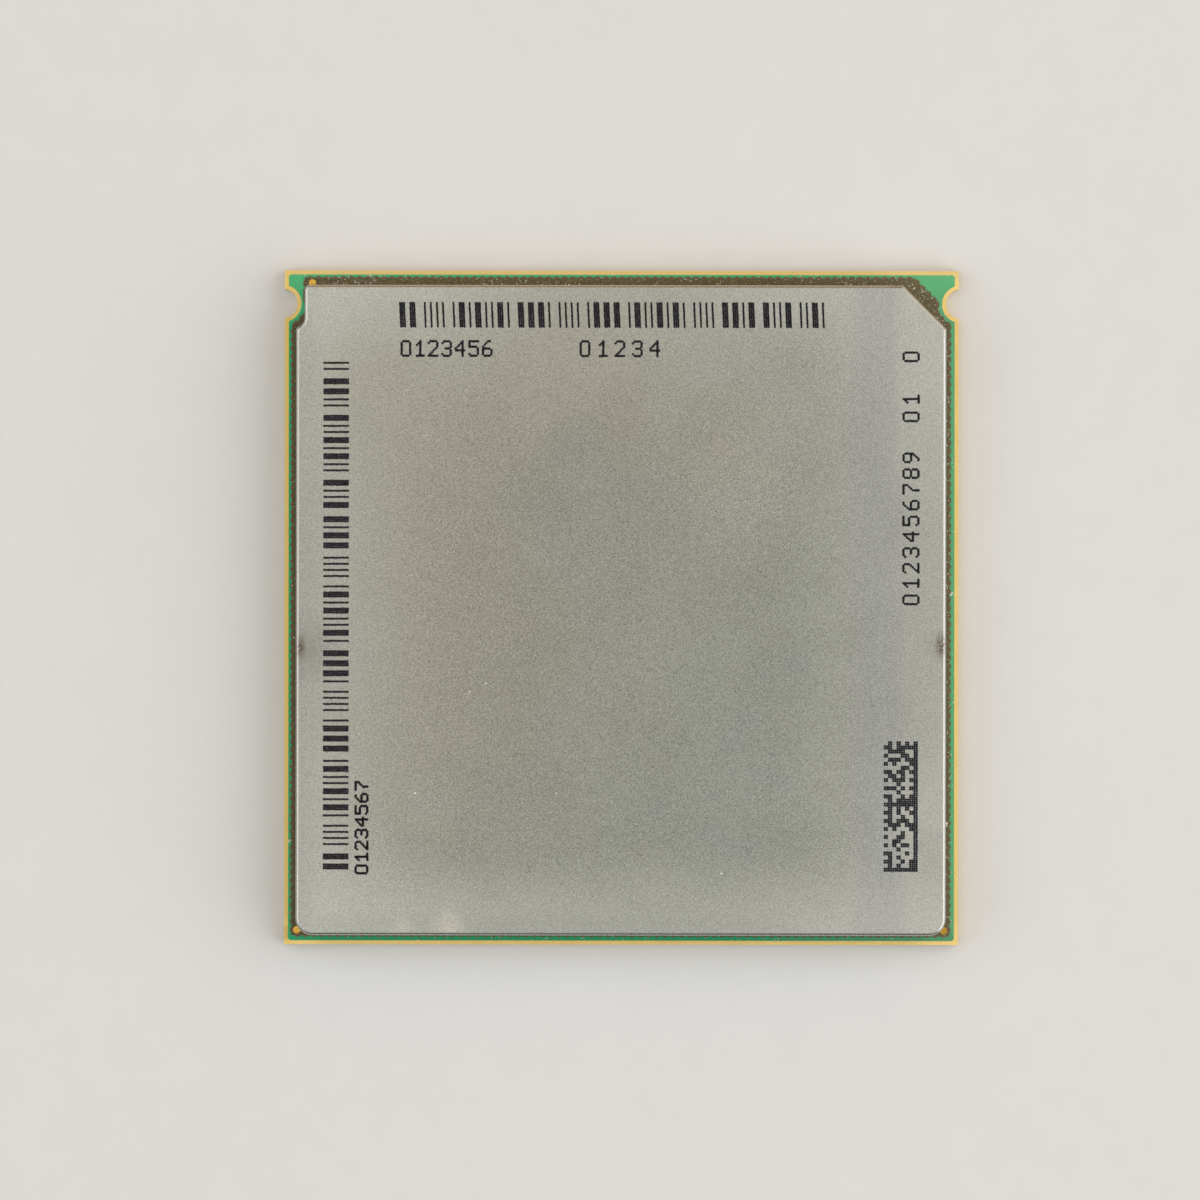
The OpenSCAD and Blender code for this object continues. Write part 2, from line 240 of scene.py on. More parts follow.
def add_node(tree, kind, inputs=(), settings=None, output=0):
    """Adds a node, with its settings first and then its sockets' values and links."""
    node = tree.nodes.new(kind)
    for name, value in (settings or {}).items():
        setattr(node, name, value)
    pairs = inputs.items() if isinstance(inputs, dict) else enumerate(inputs)
    for key, value in pairs:
        if isinstance(value, Field):
            tree.links.new(value.socket, node.inputs[key])
        else:
            node.inputs[key].default_value = value
    return Field(node.outputs[output])


def colour(value):
    """A colour for a socket: a field as it is, and red, green and blue with an alpha."""
    return value if isinstance(value, Field) else (*value, 1.0)


def new_material(name):
    """Material with its main shader, and the position on the piece in millimetres."""
    material = bpy.data.materials.new(name)
    material.use_nodes = True
    tree = material.node_tree
    place = add_node(tree, "ShaderNodeTexCoord", output=OBJECT_PLACE_OUT)
    place = place.node("ShaderNodeVectorMath", {0: place, "Scale": 1.0 / MM}, {"operation": "SCALE"})
    shader = tree.nodes["Principled BSDF"]
    return material, shader, place


def finish_material(shader, base, rough, relief, relief_mm, metallic=0.0, **fixed):
    """Links the varying fields to the shader and sets what is the same all over."""
    tree = shader.id_data
    tree.links.new(base.socket, shader.inputs["Base Color"])
    tree.links.new(rough.socket, shader.inputs["Roughness"])
    shader.inputs["Metallic"].default_value = metallic
    for name, value in fixed.items():
        shader.inputs[name.replace("_", " ")].default_value = value
    heights = {"Height": relief, "Strength": 1.0, "Distance": relief_mm * MM}
    bump = relief.node("ShaderNodeBump", heights)
    tree.links.new(bump.socket, shader.inputs["Normal"])


# Tones of the nickel
NICKEL_PALE = (0.380, 0.379, 0.338)
NICKEL_WARM = (0.312, 0.296, 0.240)
NICKEL_COOL = (0.291, 0.300, 0.272)
NICKEL_CORNER = (0.468, 0.467, 0.421)
# Painted highlight and painted reflection tones of the rounded edge
NICKEL_EDGE_HIGHLIGHT = (0.520, 0.515, 0.480)
NICKEL_RIGHT_HIGHLIGHT = (0.545, 0.545, 0.540)
NICKEL_RIM_REFLECTION = (0.390, 0.390, 0.372)
NICKEL_CUT_HIGHLIGHT = (0.445, 0.430, 0.378)
NICKEL_LILAC = (0.305, 0.304, 0.318)
NICKEL_DULL = (0.235, 0.236, 0.216)
NICKEL_BUFF = (0.385, 0.355, 0.300)
SMUDGE_BROWN = (0.120, 0.078, 0.044)
SPECK_PALE = (0.80, 0.79, 0.74)
CLOUDY_PALE = (0.60, 0.565, 0.475)

# Wander of the darker middle, middle of the pale corners and upright weight of the smudges, in millimetres
DRIFT_REACH = 6.0
CORNERS_MIDDLE = (-1.0, 0.0)
SMUDGE_WEIGHT_Y = 0.42

# Where a tone of the nickel grows from none to full, in millimetres
MIDDLE_FROM_LEFT = (-25.5, -10.0)
MIDDLE_FROM_RIGHT = (24.0, 10.0)
MIDDLE_FROM_BOTTOM = (-23.5, -17.0)
MIDDLE_FROM_TOP = (27.0, 8.0)
WARM_TO_COOL = (-18.0, 16.0)
CORNERS_AWAY = (22.0, 34.0)
LILAC_START = (16.2, 18.2)
LILAC_END = (21.4, 19.8)
RUBBED_LEFT = (-21.6, -23.7)
RUBBED_BOTTOM = (-22.2, -23.3)
RUBBED_END = (14.0, 4.0)
RIGHT_EDGE = (23.40, 23.55)
SIDE_EDGES = (23.60, 23.72)
CUT_CORNER = (43.2, 43.9)
EDGE_START = (LID_TOP - 0.0005, LID_TOP - 0.006)
RIM_START = (LID_TOP - 0.008, LID_TOP - 0.030)
RIM_END = (LID_TOP - 0.26, LID_TOP - 0.20)
SMUDGE_END = (LID_TOP - 0.45, LID_TOP - 0.05)

# Patches of the nickel: x, y and reach in millimetres, share and tone
PATCHES = [
    (-19.0, 17.2, 7.5, 0.38, NICKEL_WARM),
    (-3.5, 17.0, 9.0, 0.42, NICKEL_WARM),
    (9.0, 8.0, 7.0, 0.33, NICKEL_PALE),
    (9.5, 11.5, 7.5, 0.28, NICKEL_BUFF),
    (-3.5, 7.0, 10.0, 0.45, NICKEL_COOL),
    (-3.5, 7.0, 9.0, 0.14, NICKEL_DULL),
    (-14.0, -15.0, 3.5, 0.25, NICKEL_PALE),
    (-3.5, 12.3, 3.5, 0.40, NICKEL_DULL),
    (-23.5, -3.0, 3.3, 0.64, NICKEL_DULL),
    (23.7, -2.8, 1.8, 0.38, NICKEL_DULL),
    (-12.7, -23.6, 1.7, 0.75, CLOUDY_PALE),
    (-16.2, -23.6, 1.2, 0.50, CLOUDY_PALE),
    (19.0, -23.0, 3.0, 0.40, NICKEL_CORNER),
    (-22.6, -12.0, 4.5, 0.20, NICKEL_CORNER),
    (23.2, -18.5, 4.5, 0.24, NICKEL_DULL),
]

# Smudges at the sides and pale specks: x, y and reach in millimetres
SMUDGES = [(-23.66, -2.96, 0.52), (23.56, -2.74, 0.56)]
PALE_SPECKS = [
    (-10.0, -5.6, 0.08),
    (-11.2, -6.2, 0.07),
    (-15.2, -13.7, 0.09),
    (-4.8, -13.7, 0.07),
    (7.4, -19.6, 0.08),
]


def nickel_finish():
    """Fine blasted nickel, darker in the middle and paler towards the corners, with a painted highlight on
    its rounded edge.
    """
    material, shader, place = new_material("nickel_plate_blasted")
    x, y, z = place.parts()

    # Darker middle, paler corners and patches
    drift = place.noise(6.0, detail=3.0, rough=0.55, seed=1.0)
    shift = (drift - 0.5) * DRIFT_REACH
    middle_share = (x + shift).ramp(*MIDDLE_FROM_LEFT) * (x + shift).ramp(*MIDDLE_FROM_RIGHT)
    middle_share = middle_share * (y + shift).ramp(*MIDDLE_FROM_BOTTOM) * (y + shift).ramp(*MIDDLE_FROM_TOP)
    hue = place.noise(2.6, detail=3.0, rough=0.6, seed=2.0)
    side = (x - y * 0.6 + shift).ramp(*WARM_TO_COOL)
    middle = (hue * 0.5 + side * 0.7 - 0.10).mix(NICKEL_WARM, NICKEL_COOL)
    base = middle_share.mix(NICKEL_PALE, middle)
    base = (place.away(*CORNERS_MIDDLE) + shift).ramp(*CORNERS_AWAY).mix(base, NICKEL_CORNER)
    band = (x + shift * 0.4).ramp(*LILAC_START) * (x + shift * 0.4).ramp(*LILAC_END)
    base = (band * 0.35).mix(base, NICKEL_LILAC)
    for spot_x, spot_y, reach, share, tone in PATCHES:
        patch = (place.away(spot_x, spot_y) + shift * 0.3).ramp(reach, 0.0)
        base = (patch * share).mix(base, tone)
    rubbed = x.ramp(*RUBBED_LEFT).higher(y.ramp(*RUBBED_BOTTOM) * x.ramp(*RUBBED_END) * 0.7)
    base = (rubbed * 0.34).mix(base, NICKEL_COOL)

    # Painted highlight on the rounded edge, brighter at the right side and warmer on the cut corner, with a
    # greyer painted reflection on the outer rim at the sides
    edge = z.ramp(*EDGE_START)
    inner_highlight = x.ramp(*RIGHT_EDGE).mix(NICKEL_EDGE_HIGHLIGHT, NICKEL_RIGHT_HIGHLIGHT)
    inner_highlight = (x + y).ramp(*CUT_CORNER).mix(inner_highlight, NICKEL_CUT_HIGHLIGHT)
    outer_reflection = x.math("ABSOLUTE").ramp(*SIDE_EDGES) * z.ramp(*RIM_START) * z.ramp(*RIM_END)
    base = edge.mix(base, outer_reflection.mix(inner_highlight, NICKEL_RIM_REFLECTION))

    # Blasted grain, a little warmer towards the left
    speck = place.noise(0.045, detail=0.0, rough=0.5, seed=3.0)
    bead = place.noise(0.115, detail=0.0, rough=0.5, seed=6.0)
    strength = (0.65 + middle_share * 0.45) * (1.0 - edge * 0.6)
    grain = ((speck - 0.5) * 1.3 + (bead - 0.5) * 0.7) * strength
    level = 1.0 + grain + (drift - 0.5) * 0.2 * middle_share
    warmth = (1.0 - side) * 0.012
    base = base.times(level.node("ShaderNodeCombineColor", [level + warmth, level, level - warmth]))

    # Smudges and specks
    for spot_x, spot_y, reach in SMUDGES:
        blot = place.away(spot_x, spot_y, SMUDGE_WEIGHT_Y).ramp(reach, 0.05 * reach)
        blot = blot * z.ramp(*SMUDGE_END) * bead.ramp(0.30, 0.60)
        base = blot.mix(base, SMUDGE_BROWN)
    for spot_x, spot_y, reach in PALE_SPECKS:
        base = place.away(spot_x, spot_y).ramp(reach, 0.5 * reach).mix(base, SPECK_PALE)

    rough = 0.40 + speck * 0.16 + middle_share * 0.06 - edge * 0.19
    relief = speck * (1.0 - edge * 0.7)
    finish_material(shader, base, rough, relief, 0.0015, metallic=1.0)
    return material


INK_WET = (0.0085, 0.0075, 0.0115)
INK_DRY = (0.034, 0.029, 0.039)


def ink_finish():
    """Dark dot print with paler, drier places."""
    material, shader, place = new_material("marking_ink")
    dry = place.noise(0.11, detail=2.0, rough=0.6, seed=1.0)
    cloud = place.noise(1.4, detail=2.0, rough=0.5, seed=2.0)
    base = (dry.ramp(0.35, 0.75) * 0.7 + cloud * 0.3).mix(INK_WET, INK_DRY)
    finish_material(shader, base, 0.45 + dry * 0.3, dry, 0.002, Specular_IOR_Level=0.2)
    return material


# Tones of the laminate, on its face and on its cut sides
LAMINATE_DARK = (0.79, 0.495, 0.128)
LAMINATE_PALE = (0.97, 0.770, 0.290)
LAMINATE_TOP_SHADE = (0.66, 0.47, 0.19)
LAMINATE_LEFT_PAINTED_LIGHT = (0.86, 0.60, 0.13)
FRAYED_GAP_SHADOW = (0.30, 0.20, 0.08)
CUT_RESIN = (0.50, 0.37, 0.155)
CUT_SKIN = (0.36, 0.24, 0.085)
CUT_PLY = (0.40, 0.26, 0.085)

# Cloth, plies and stripes of the laminate, and where its tones grow from none to full, in millimetres
CLOTH_PITCH = 0.46
PLY_PITCH = 0.1625
STRIPE_PITCH = 0.17
FIBRE_STRETCH = (1.0, 1.0, 0.25)
LOWER_SKIN = (board_low.z + 0.20, board_low.z + 0.24)
UPPER_SKIN = (board_high.z - 0.20, board_high.z - 0.24)
CUT_START = (board_high.z - 0.004, board_high.z - 0.02)
TOP_STRIP = (24.2, 24.6)
LEFT_STRIP = (-24.3, -24.6)
FRAYED_TOP = (-23.5, -23.8)
FRAYED_BOTTOM = (-24.75, -24.55)
FRAYED_EDGE = (-24.55, -24.65)


def laminate_finish():
    """Bare glass cloth in yellow resin, with its plies showing on the cut sides."""
    material, shader, place = new_material("laminate_bare")
    x, y, z = place.parts()

    # Face, with a frayed corner at the bottom left, where painted shadow darkens stripes between the frayed
    # fibres
    weave = x.wave(CLOTH_PITCH) * y.wave(CLOTH_PITCH) * 0.5 + 0.5
    fibre = place.noise(0.09, detail=3.0, rough=0.6, seed=1.0, stretch=FIBRE_STRETCH)
    cloud = place.noise(0.9, detail=3.0, rough=0.6, seed=2.0)
    mottle = (fibre * 0.55 + cloud * 0.35 + weave * 0.10 - 0.5) * 1.7 + 0.5
    base = mottle.mix(LAMINATE_DARK, LAMINATE_PALE)
    # Painted light and shade: the top strip is painted darker and the left strip yellower, for how the
    # light falls on each side of the ledge
    base = (y.ramp(*TOP_STRIP) * 0.5).mix(base, LAMINATE_TOP_SHADE)
    base = (x.ramp(*LEFT_STRIP) * 0.5).mix(base, LAMINATE_LEFT_PAINTED_LIGHT)
    frayed = y.ramp(*FRAYED_TOP) * y.ramp(*FRAYED_BOTTOM) * x.ramp(*FRAYED_EDGE)
    stripe = (x + y + (fibre - 0.5) * 0.15).wave(STRIPE_PITCH).ramp(0.1, 0.9)
    base = (frayed * stripe * 0.8).mix(base, FRAYED_GAP_SHADOW)

    # Cut sides, with darker skins above and below the plies
    ply = (z - board_low.z).wave(PLY_PITCH) * 0.5 + 0.5
    core = z.ramp(*LOWER_SKIN) * z.ramp(*UPPER_SKIN)
    cut = z.ramp(*CUT_START)
    base = (cut * 0.55).mix(base, CUT_RESIN)
    base = (cut * (1.0 - core) * 0.45).mix(base, CUT_SKIN)
    base = (cut * core * ply.ramp(0.75, 1.0) * 0.35).mix(base, CUT_PLY)

    rough = 0.55 + fibre * 0.25
    finish_material(shader, base, rough, fibre + weave * 0.15, 0.012, Specular_IOR_Level=0.4)
    return material


def rim_distance(place):
    """How far a point of the top film lies inside the copper plane's straight rim, in millimetres."""
    x, y, _ = place.parts()
    left = plane_low.x + SCALLOP_OUT
    right = plane_high.x - SCALLOP_OUT
    bottom = plane_low.y + SCALLOP_OUT
    top = plane_high.y - SCALLOP_OUT
    rim = (x - left).lower(right - x).lower(y - bottom).lower(top - y)
    rim = rim.lower(((right + top - PLANE_CUT_LEG) - (x + y)) * math.sqrt(0.5))
    rim = rim.lower((x - PLANE_KEY_X).higher(NOTCH_Y - y))
    for side in (-1, 1):
        rim = rim.lower(place.away(side * NOTCH_X, NOTCH_Y) - PLANE_NOTCH_R)
    return rim


# Tones of the top film
MASK_DARK = (0.028, 0.330, 0.115)
MASK_PALE = (0.072, 0.560, 0.215)
MASK_AT_RIM = (0.018, 0.330, 0.130)
MASK_BOTTOM_SHADE = (0.002, 0.220, 0.090)
MASK_LEFT_SHADE = (0.002, 0.360, 0.130)
COPPER_DARK = (0.030, 0.025, 0.006)
COPPER_PALE = (0.167, 0.127, 0.034)
COPPER_LEFT_SHADE = (0.040, 0.028, 0.000)
COPPER_FLECK = (0.36, 0.32, 0.20)
RIM_DARK = (0.085, 0.045, 0.016)
RIM_RED = (0.190, 0.105, 0.050)
PALE_DUST_AND_SHEEN = (0.36, 0.35, 0.29)

# Where a tone of the top film grows from none to full, in millimetres
PLATEAU = (LOW_FILM_Z + 0.002, PLATEAU_Z - 0.002)
NEAR_RIM = (-0.22, -0.04)
RED_RIM = (0.10, -0.06)
MASK_BOTTOM_STRIP = (-23.9, -24.3)
MASK_LEFT_STRIP = (-24.05, -24.25)
MASK_LEFT_TOP = (21.5, 20.5)
COPPER_LEFT_STRIP = (-20.0, -24.0)
HAZE_RIGHT = (6.0, 25.0)
HAZE_TOP = (22.0, 25.0)
HAZE_DRIFT = 6.0


def top_film_finish():
    """Green solder mask, brown where copper lies under it, and paler towards the right with dust and
    painted sheen.
    """
    material, shader, place = new_material("solder_mask_over_copper")
    x, y, z = place.parts()
    grain = place.noise(0.075, detail=2.0, rough=0.6, seed=1.0)
    cloud = place.noise(1.1, detail=3.0, rough=0.6, seed=2.0)
    plateau = z.ramp(*PLATEAU)
    rim = rim_distance(place)

    # Green over the laminate
    green = (cloud * 0.5 + grain * 0.5).mix(MASK_DARK, MASK_PALE)
    green = (rim.ramp(*NEAR_RIM) * 0.8).mix(green, MASK_AT_RIM)
    # Painted shade: the green is darker on the bottom strip and on the left strip, where the lid shades the
    # ledge
    green = (y.ramp(*MASK_BOTTOM_STRIP) * 0.6).mix(green, MASK_BOTTOM_SHADE)
    green = (x.ramp(*MASK_LEFT_STRIP) * y.ramp(*MASK_LEFT_TOP) * 0.7).mix(green, MASK_LEFT_SHADE)

    # Brown over the copper, redder at its rim
    grit = place.noise(0.085, detail=1.0, rough=0.6, seed=4.0).ramp(0.34, 0.66)
    brown = (cloud * 0.25 + grit * 0.75).mix(COPPER_DARK, COPPER_PALE)
    # Painted shade: the copper is darker towards the left
    brown = (x.ramp(*COPPER_LEFT_STRIP) * 0.4).mix(brown, COPPER_LEFT_SHADE)
    red = grain.mix(RIM_DARK, RIM_RED)
    brown = (rim + (grain - 0.5) * 0.10).ramp(*RED_RIM).mix(brown, red)
    fleck = place.noise(0.10, detail=1.0, rough=0.5, seed=3.0).ramp(0.60, 0.68)
    brown = (fleck * 0.50).mix(brown, COPPER_FLECK)

    # Dust and painted sheen, paler towards the right and top, thinner over the copper
    dust_and_sheen = (x + (cloud - 0.5) * HAZE_DRIFT).ramp(*HAZE_RIGHT).higher(y.ramp(*HAZE_TOP) * 0.3)
    base = (dust_and_sheen * (0.2 - plateau * 0.1)).mix(plateau.mix(green, brown), PALE_DUST_AND_SHEEN)

    rough = 0.22 + grain * 0.16
    finish_material(shader, base, rough, grain + cloud * 0.4, 0.004, Specular_IOR_Level=0.28)
    return material


LAND_MASK_DARK = (0.030, 0.170, 0.070)
LAND_MASK_PALE = (0.085, 0.300, 0.135)


def land_film_finish():
    """Green solder mask of the land side."""
    material, shader, place = new_material("solder_mask_land_side")
    grain = place.noise(0.09, detail=2.0, rough=0.6, seed=1.0)
    cloud = place.noise(2.2, detail=3.0, rough=0.6, seed=2.0)
    base = (cloud * 0.6 + grain * 0.4).mix(LAND_MASK_DARK, LAND_MASK_PALE)
    finish_material(shader, base, 0.34 + grain * 0.2, grain, 0.004)
    return material


GOLD_DARK = (0.38, 0.190, 0.020)
GOLD_PALE = (0.84, 0.510, 0.090)


def gold_finish():
    """Thin gold plate, a little tarnished."""
    material, shader, place = new_material("gold_plate_thin")
    grain = place.noise(0.13, detail=2.0, rough=0.6, seed=1.0)
    cloud = place.noise(1.7, detail=3.0, rough=0.6, seed=2.0)
    base = (cloud * 0.3 + grain.ramp(0.3, 0.7) * 0.7).mix(GOLD_DARK, GOLD_PALE)
    finish_material(shader, base, 0.30 + grain * 0.2, grain, 0.003, metallic=1.0)
    return material


# Plain grained finishes: dark and pale tone, size of the grain in millimetres and mean roughness
GRAINED = {
    "dust_pale": ((0.62, 0.60, 0.53), (0.90, 0.89, 0.85), 0.03, 0.85),
    "copper_plane": ((0.40, 0.17, 0.09), (0.66, 0.33, 0.19), 0.08, 0.40),
    "silicon_lapped": ((0.10, 0.11, 0.13), (0.17, 0.18, 0.20), 0.05, 0.22),
    "underfill_resin_dark": ((0.02, 0.025, 0.05), (0.05, 0.06, 0.10), 0.12, 0.40),
    "thermal_paste_grey": ((0.36, 0.36, 0.35), (0.52, 0.52, 0.51), 0.10, 0.70),
    "capacitor_ceramic_tan": ((0.28, 0.17, 0.09), (0.43, 0.28, 0.16), 0.05, 0.50),
    "tin_matte": ((0.52, 0.52, 0.50), (0.72, 0.72, 0.70), 0.04, 0.40),
    "solder_bright": ((0.55, 0.55, 0.54), (0.75, 0.75, 0.74), 0.06, 0.28),
    "copper_pads": ((0.45, 0.20, 0.11), (0.68, 0.36, 0.22), 0.05, 0.40),
    "adhesive_black": ((0.03, 0.03, 0.03), (0.08, 0.08, 0.08), 0.10, 0.65),
    "floor_pale": ((0.66, 0.66, 0.65), (0.72, 0.72, 0.71), 3.0, 0.85),
}
GRAIN_RELIEF = 0.003
LAPPED_RELIEF = 0.001
CLOUD_GRAINS = 12.0


def grained_finish(name, metallic=0.0, relief_mm=GRAIN_RELIEF):
    """Finish with grain of one size and soft clouds."""
    dark, pale, size, rough = GRAINED[name]
    material, shader, place = new_material(name)
    grain = place.noise(size, detail=3.0, rough=0.6, seed=1.0)
    cloud = place.noise(size * CLOUD_GRAINS, detail=2.0, rough=0.5, seed=2.0)
    base = (grain * 0.6 + cloud * 0.4).mix(dark, pale)
    finish_material(shader, base, rough - 0.08 + grain * 0.16, grain, relief_mm, metallic=metallic)
    return material


# Geometry trees

FLOAT = "NodeSocketFloat"
WHOLE = "NodeSocketInt"
MATERIAL = "NodeSocketMaterial"
GRAIN_R = 0.5
GRAIN_FLATNESS = 0.35
GRAIN_SQUEEZE = (0.4, 1.0)
FIBRE_SIDES = 5


def begin_tree(name, sizes):
    """Starts a tree whose named inputs are its sizes, and gives it with its input fields."""
    tree = bpy.data.node_groups.new(name, "GeometryNodeTree")
    tree.interface.new_socket("Geometry", in_out="OUTPUT", socket_type="NodeSocketGeometry")
    tree.interface.new_socket("Geometry", in_out="INPUT", socket_type="NodeSocketGeometry")
    for label, kind in sizes.items():
        tree.interface.new_socket(label, in_out="INPUT", socket_type=kind)
    tree.interface.new_socket("Material", in_out="INPUT", socket_type=MATERIAL)
    start = tree.nodes.new("NodeGroupInput")
    return tree, {socket.name: Field(socket) for socket in start.outputs if socket.name}


def end_tree(tree, shape, material):
    """Ends a tree with real geometry in its material."""
    shape = shape.node("GeometryNodeRealizeInstances", [shape])
    shape = shape.node("GeometryNodeSetMaterial", {"Geometry": shape, "Material": material})
    finish = tree.nodes.new("NodeGroupOutput")
    tree.links.new(shape.socket, finish.inputs[0])
    return tree


def grow(name, tree, mesh, values):
    """Runs a tree on a mesh and keeps what it makes as one plain mesh."""
    piece = bpy.data.objects.new(name, mesh)
    bpy.context.scene.collection.objects.link(piece)
    modifier = piece.modifiers.new("grow", "NODES")
    modifier.node_group = tree
    items = tree.interface.items_tree
    sockets = {item.name: item.identifier for item in items if item.in_out == "INPUT"}
    for label, value in values.items():
        modifier[sockets[label]] = value
    graph = bpy.context.evaluated_depsgraph_get()
    grown = bpy.data.meshes.new_from_object(piece.evaluated_get(graph), depsgraph=graph)
    piece.modifiers.remove(modifier)
    piece.data = grown
    return piece


def vector(tree, x, y, z):
    return add_node(tree, "ShaderNodeCombineXYZ", [x, y, z])


def random_number(tree, low, high, seed):
    inputs = {RANDOM_LOW: low, RANDOM_HIGH: high, RANDOM_SEED: seed}
    return add_node(tree, "FunctionNodeRandomValue", inputs, {"data_type": "FLOAT"}, RANDOM_OUT)


def join(tree, parts):
    """Puts several shapes together."""
    whole = add_node(tree, "GeometryNodeJoinGeometry")
    for part in parts:
        tree.links.new(part.socket, whole.socket.node.inputs[0])
    return whole


def dot_tree():
    """Sets one flat drop of ink on every point."""
    sizes = {"Dot diameter": FLOAT, "Ink thickness": FLOAT, "Wander": FLOAT, "Spread": FLOAT, "Seed": WHOLE}
    tree, given = begin_tree("ink_dots", sizes)
    wander = given["Wander"]
    across = random_number(tree, wander * -1.0, wander, given["Seed"])
    along = random_number(tree, wander * -1.0, wander, given["Seed"] + 1)
    places = {"Geometry": given["Geometry"], "Offset": vector(tree, across, along, 0.0)}
    points = add_node(tree, "GeometryNodeSetPosition", places)
    drop = {"Vertices": DROP_SIDES, "Radius": given["Dot diameter"] * 0.5, "Depth": given["Ink thickness"]}
    drop = add_node(tree, "GeometryNodeMeshCylinder", drop)
    lift = vector(tree, 0.0, 0.0, given["Ink thickness"] * 0.5)
    drop = add_node(tree, "GeometryNodeTransform", {"Geometry": drop, "Translation": lift})
    size = random_number(tree, 1.0 - given["Spread"], given["Spread"] + 1.0, given["Seed"] + 2)
    turn = random_number(tree, 0.0, math.tau, given["Seed"] + 3)
    stamped = {"Points": points, "Instance": drop, "Scale": vector(tree, size, size, 1.0)}
    stamped["Rotation"] = vector(tree, 0.0, 0.0, turn)
    shape = add_node(tree, "GeometryNodeInstanceOnPoints", stamped)
    return end_tree(tree, shape, given["Material"])


def land_tree():
    """Sets one etched land, a little narrower at its face, on every point."""
    sizes = {"Face diameter": FLOAT, "Foot diameter": FLOAT, "Thickness": FLOAT}
    tree, given = begin_tree("etched_lands", sizes)
    land = {"Vertices": ROUND_SIDES, "Radius Top": given["Foot diameter"] * 0.5}
    land["Radius Bottom"] = given["Face diameter"] * 0.5
    land["Depth"] = given["Thickness"]
    land = add_node(tree, "GeometryNodeMeshCone", land)
    stamped = {"Points": given["Geometry"], "Instance": land}
    shape = add_node(tree, "GeometryNodeInstanceOnPoints", stamped)
    return end_tree(tree, shape, given["Material"])


def film_tree():
    """Square film with one round opening about every point."""
    sizes = {"Film side": FLOAT, "Opening diameter": FLOAT, "Film thickness": FLOAT}
    tree, given = begin_tree("land_side_film", sizes)
    ring = {"Resolution": ROUND_SIDES, "Radius": given["Opening diameter"] * 0.5}
    ring = add_node(tree, "GeometryNodeCurvePrimitiveCircle", ring)
    stamped = {"Points": given["Geometry"], "Instance": ring}
    rings = add_node(tree, "GeometryNodeInstanceOnPoints", stamped)
    rings = add_node(tree, "GeometryNodeRealizeInstances", [rings])
    side = {"Width": given["Film side"], "Height": given["Film side"]}
    edge = add_node(tree, "GeometryNodeCurvePrimitiveQuadrilateral", side)
    face = add_node(tree, "GeometryNodeFillCurve", [join(tree, [edge, rings])], {"mode": "TRIANGLES"})
    thick = {"Mesh": face, "Offset Scale": given["Film thickness"], "Individual": False}
    upper = add_node(tree, "GeometryNodeExtrudeMesh", thick, {"mode": "FACES"})
    lower = add_node(tree, "GeometryNodeFlipFaces", [face])
    merged = {"Geometry": join(tree, [upper, lower]), "Distance": MERGE_REACH * MM}
    closed = add_node(tree, "GeometryNodeMergeByDistance", merged)
    return end_tree(tree, closed, given["Material"])


def speck_tree():
    """Scatters flat grains of dust over the faces of a mesh."""
    sizes = {"Number per area": FLOAT, "Smallest": FLOAT, "Largest": FLOAT, "Seed": WHOLE}
    tree, given = begin_tree("dust_specks", sizes)
    scatter = {"Mesh": given["Geometry"], "Density": given["Number per area"], "Seed": given["Seed"]}
    points = add_node(tree, "GeometryNodeDistributePointsOnFaces", scatter)
    grain = add_node(tree, "GeometryNodeMeshIcoSphere", {"Radius": GRAIN_R, "Subdivisions": 1})
    size = random_number(tree, given["Smallest"], given["Largest"], given["Seed"] + 1)
    squeeze = random_number(tree, *GRAIN_SQUEEZE, given["Seed"] + 2)
    turn = random_number(tree, 0.0, math.tau, given["Seed"] + 3)
    laid = {"Points": points, "Instance": grain, "Rotation": vector(tree, 0.0, 0.0, turn)}
    laid["Scale"] = vector(tree, size, size * squeeze, size * GRAIN_FLATNESS)
    shape = add_node(tree, "GeometryNodeInstanceOnPoints", laid)
    return end_tree(tree, shape, given["Material"])


def fibre_tree():
    """Gives every path the round body of a fibre."""
    tree, given = begin_tree("loose_fibres", {"Fibre diameter": FLOAT})
    path = add_node(tree, "GeometryNodeMeshToCurve", [given["Geometry"]])
    ring = {"Resolution": FIBRE_SIDES, "Radius": given["Fibre diameter"] * 0.5}
    ring = add_node(tree, "GeometryNodeCurvePrimitiveCircle", ring)
    body = {"Curve": path, "Profile Curve": ring, "Fill Caps": True}
    shape = add_node(tree, "GeometryNodeCurveToMesh", body)
    return end_tree(tree, shape, given["Material"])


# Points and paths that the trees work on

def point_mesh(name, points):
    """Mesh of bare points, given in millimetres."""
    mesh = bpy.data.meshes.new(name)
    mesh.from_pydata([[value * MM for value in point] for point in points], [], [])
    return mesh


def bar_widths(groups):
    """Whether each bar of a rule-made bar code is wide, and whether the gap after it is."""
    bars = []
    for group in range(groups):
        first = (2 * group) % GROUP_BARS
        second = (first + 1 + group % GROUP_GAPS) % GROUP_BARS
        gap = (3 * group + 1) % GROUP_GAPS
        bars += [(bar in (first, second), bar == gap) for bar in range(GROUP_BARS)]
    return bars


def bar_dots(groups, length, height, lean, dot, pitch):
    """Dots of a bar code that runs along X from the origin, with bars of one or three dot columns."""
    columns = []
    run = 0.0
    for wide, wide_gap in bar_widths(groups):
        count = WIDE_COLUMNS if wide else 1
        columns += [run + dot / 2 + i * BAR_COLUMN for i in range(count)]
        run += dot + (count - 1) * BAR_COLUMN + (WIDE_GAP if wide_gap else NARROW_GAP)
    stretch = length / (run - NARROW_GAP)
    rows = round((height - dot) / pitch)
    levels = [dot / 2 + (height - dot) * row / rows for row in range(rows + 1)]
    dots = []
    for column in columns:
        dots += [(column * stretch - (level - height / 2) * lean, level) for level in levels]
    return dots


